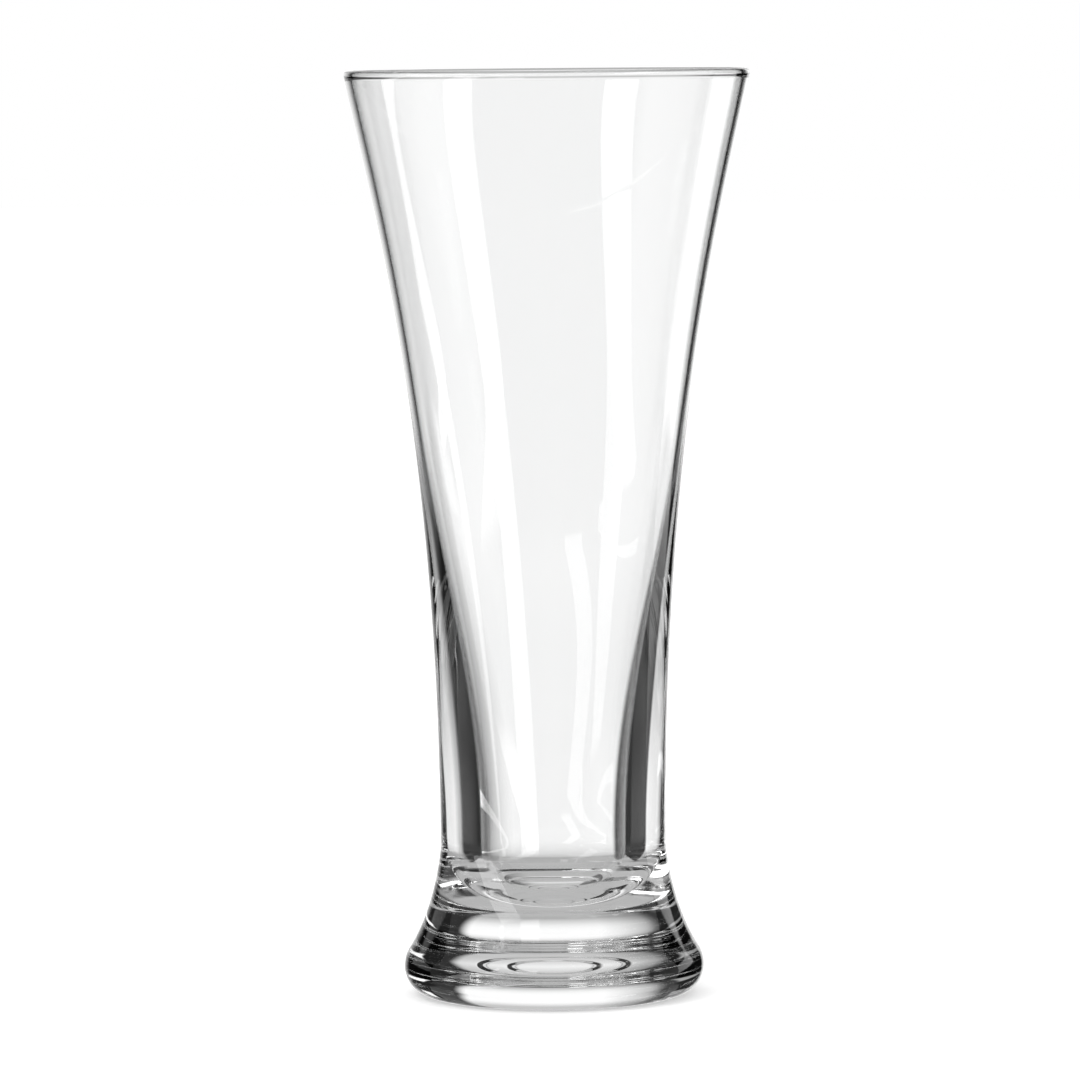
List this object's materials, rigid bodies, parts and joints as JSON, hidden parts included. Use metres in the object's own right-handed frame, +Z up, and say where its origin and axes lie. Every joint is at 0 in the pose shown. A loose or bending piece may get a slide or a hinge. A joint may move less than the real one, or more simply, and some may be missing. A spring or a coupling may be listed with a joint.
{
  "type": "pilsner glass",
  "caption": "Tall flared clear beer glass: thin bowl with a fire-polished rim, wall thickening down to a narrow waist, and a heavy solid flared foot with a shallow hollow underneath.",
  "frame": {"origin": "middle of the foot, on the table that the glass stands on", "axes": "+Z up along the glass's axis, from the foot to the rim; +X and +Y are alike, because the glass is round"},
  "size_m": [0.0804, 0.0804, 0.184],
  "materials": {
    "clear_glass": "clear soda-lime glass, fire-polished"
  },
  "bodies": {
    "root": {"rim": "clear_glass", "bowl": "clear_glass", "foot": "clear_glass"}
  },
  "joints": []
}
